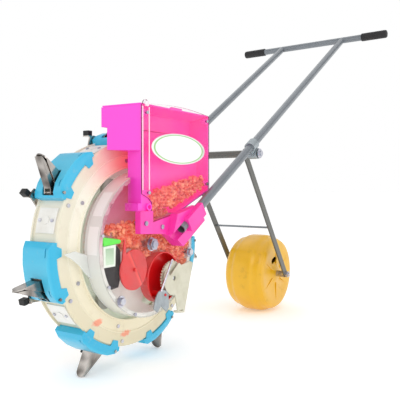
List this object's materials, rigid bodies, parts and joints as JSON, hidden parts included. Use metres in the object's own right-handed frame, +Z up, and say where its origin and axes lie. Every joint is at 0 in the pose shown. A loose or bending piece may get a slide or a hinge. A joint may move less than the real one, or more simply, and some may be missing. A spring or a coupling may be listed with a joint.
{
  "type": "corn planter",
  "caption": "Hand-pushed drum planter that punches seeds in with spring-shut bills, with a clear metering chamber, side hopper, handlebar and trailing press wheel.",
  "frame": {"origin": "on the ground, under the middle of the planter's overall box", "axes": "+X to the rear, towards the handlebar; +Y away from the clear chamber side; +Z up; the planter is pushed towards -X"},
  "size_m": [1.3972, 0.577, 0.9598],
  "materials": {
    "cream_plastic": "gloss",
    "cover_plastic": "gloss",
    "blue_plastic": "gloss",
    "plate_plastic": "gloss",
    "bill_steel": "polished",
    "zinc_steel": "bright",
    "clear_plastic": "clear",
    "clear_pink": "clear",
    "casing_plastic": "gloss",
    "pink_plastic": "gloss",
    "bracket_pink": "gloss",
    "red_plastic": "gloss",
    "gear_plastic": "satin",
    "green_plastic": "gloss",
    "white_plastic": "gloss",
    "black_rubber": "matte",
    "tube_paint": "gloss",
    "leg_paint": "satin",
    "clamp_zinc": "satin",
    "wheel_plastic": "gloss",
    "dark_steel": "satin",
    "roller_plastic": "satin"
  },
  "bodies": {
    "frame": {"axle": "zinc_steel", "axle_nuts": "zinc_steel", "chamber_disc": "clear_plastic", "chamber_casing": "casing_plastic", "ring_guard": "casing_plastic", "roller_bolts": "zinc_steel", "gear_cover": "gear_plastic", "gear_recess": "red_plastic", "brush_box": "white_plastic", "brush": "black_rubber", "sight_tab": "green_plastic", "hopper_body": "pink_plastic", "hopper_cover": "clear_pink", "cover_screws": "zinc_steel", "near_bracket": "bracket_pink", "far_bracket": "bracket_pink", "handle_tubes": "tube_paint", "crossbar": "tube_paint", "grips": "black_rubber", "fork_clamps": "clamp_zinc", "clamp_bolts": "zinc_steel", "fork_tube": "leg_paint", "fork_legs": "leg_paint", "brace_rod": "tube_paint", "wheel_axle": "zinc_steel"},
    "drum": {"drum_shell": "cream_plastic", "near_cover": "cover_plastic", "far_disc": "cream_plastic", "drum_hub": "dark_steel", "ring_gear": "white_plastic", "bill_housings": "blue_plastic", "fixed_bills": "bill_steel", "tread_plates": "plate_plastic", "drum_screws": "zinc_steel"},
    "bill_1": {"moving_bill_1": "bill_steel", "bill_pad_1": "black_rubber"},
    "bill_2": {"moving_bill_2": "bill_steel", "bill_pad_2": "black_rubber"},
    "bill_3": {"moving_bill_3": "bill_steel", "bill_pad_3": "black_rubber"},
    "bill_4": {"moving_bill_4": "bill_steel", "bill_pad_4": "black_rubber"},
    "bill_5": {"moving_bill_5": "bill_steel", "bill_pad_5": "black_rubber"},
    "bill_6": {"moving_bill_6": "bill_steel", "bill_pad_6": "black_rubber"},
    "bill_7": {"moving_bill_7": "bill_steel", "bill_pad_7": "black_rubber"},
    "roller_1": {"guide_roller_1": "roller_plastic"},
    "roller_2": {"guide_roller_2": "roller_plastic"},
    "roller_3": {"guide_roller_3": "roller_plastic"},
    "metering": {"metering_shaft": "zinc_steel", "metering_roller": "red_plastic", "drive_pinion": "white_plastic", "adjusting_gear": "gear_plastic"},
    "gate": {"gate_disc": "red_plastic"},
    "knocker": {"knocker_lever": "clamp_zinc", "knocker_rod": "zinc_steel"},
    "lid": {"hopper_lid": "pink_plastic"},
    "wheel": {"press_wheel": "wheel_plastic"}
  },
  "joints": [
    {"name": "drum_spin", "type": "hinge", "parent": "frame", "child": "drum", "pos_m": [-0.40578, 0, 0.27094], "axis": [0, 1, 0], "continuous": true},
    {"name": "bill_1_open", "type": "hinge", "parent": "drum", "child": "bill_1", "pos_m": [-0.47041, 0, 0.04456], "axis": [0, -1, 0], "range_deg": [0, 18], "stiffness_Nm_per_rad": 1.2, "springref_deg": -20.05},
    {"name": "bill_2_open", "type": "hinge", "parent": "drum", "child": "bill_2", "pos_m": [-0.62307, 0, 0.18032], "axis": [0, -1, 0], "range_deg": [0, 18], "stiffness_Nm_per_rad": 1.2, "springref_deg": -20.05},
    {"name": "bill_3_open", "type": "hinge", "parent": "drum", "child": "bill_3", "pos_m": [-0.61211, 0, 0.38432], "axis": [0, -1, 0], "range_deg": [0, 18], "stiffness_Nm_per_rad": 1.2, "springref_deg": -20.05},
    {"name": "bill_4_open", "type": "hinge", "parent": "drum", "child": "bill_4", "pos_m": [-0.44578, 0, 0.50294], "axis": [0, -1, 0], "range_deg": [0, 18], "stiffness_Nm_per_rad": 1.2, "springref_deg": -20.05},
    {"name": "bill_5_open", "type": "hinge", "parent": "drum", "child": "bill_5", "pos_m": [-0.24934, 0, 0.44686], "axis": [0, -1, 0], "range_deg": [0, 18], "stiffness_Nm_per_rad": 1.2, "springref_deg": -20.05},
    {"name": "bill_6_open", "type": "hinge", "parent": "drum", "child": "bill_6", "pos_m": [-0.1707, 0, 0.25831], "axis": [0, -1, 0], "range_deg": [0, 18], "stiffness_Nm_per_rad": 1.2, "springref_deg": -20.05},
    {"name": "bill_7_open", "type": "hinge", "parent": "drum", "child": "bill_7", "pos_m": [-0.26908, 0, 0.07927], "axis": [0, -1, 0], "range_deg": [0, 18], "stiffness_Nm_per_rad": 1.2, "springref_deg": -20.05},
    {"name": "roller_1_spin", "type": "hinge", "parent": "frame", "child": "roller_1", "pos_m": [-0.50394, -0.039, 0.16192], "axis": [0, 1, 0], "continuous": true},
    {"name": "roller_2_spin", "type": "hinge", "parent": "frame", "child": "roller_2", "pos_m": [-0.48782, -0.039, 0.39256], "axis": [0, 1, 0], "continuous": true},
    {"name": "roller_3_spin", "type": "hinge", "parent": "frame", "child": "roller_3", "pos_m": [-0.26229, -0.039, 0.24044], "axis": [0, 1, 0], "continuous": true},
    {"name": "metering_spin", "type": "hinge", "parent": "frame", "child": "metering", "pos_m": [-0.33636, -0.047, 0.18821], "axis": [0, 1, 0], "continuous": true},
    {"name": "gate_turn", "type": "hinge", "parent": "frame", "child": "gate", "pos_m": [-0.45835, -0.083, 0.22092], "axis": [0, 1, 0], "range_deg": [-5, 25]},
    {"name": "knocker_swing", "type": "hinge", "parent": "frame", "child": "knocker", "pos_m": [-0.37578, -0.098, 0.15694], "axis": [0, 1, 0], "range_deg": [-6, 6], "stiffness_Nm_per_rad": 0.3},
    {"name": "lid_open", "type": "hinge", "parent": "frame", "child": "lid", "pos_m": [-0.33078, -0.04161, 0.55812], "axis": [-1, 0, 0], "range_deg": [0, 100]},
    {"name": "wheel_spin", "type": "hinge", "parent": "frame", "child": "wheel", "pos_m": [0.25698, 0, 0.121], "axis": [0, 1, 0], "continuous": true}
  ],
  "couplings": [
    {"joint": "metering_spin", "follows": "drum_spin", "ratio": 4},
    {"joint": "roller_1_spin", "follows": "drum_spin", "ratio": 8.35},
    {"joint": "roller_2_spin", "follows": "drum_spin", "ratio": 8.35},
    {"joint": "roller_3_spin", "follows": "drum_spin", "ratio": 8.35}
  ]
}
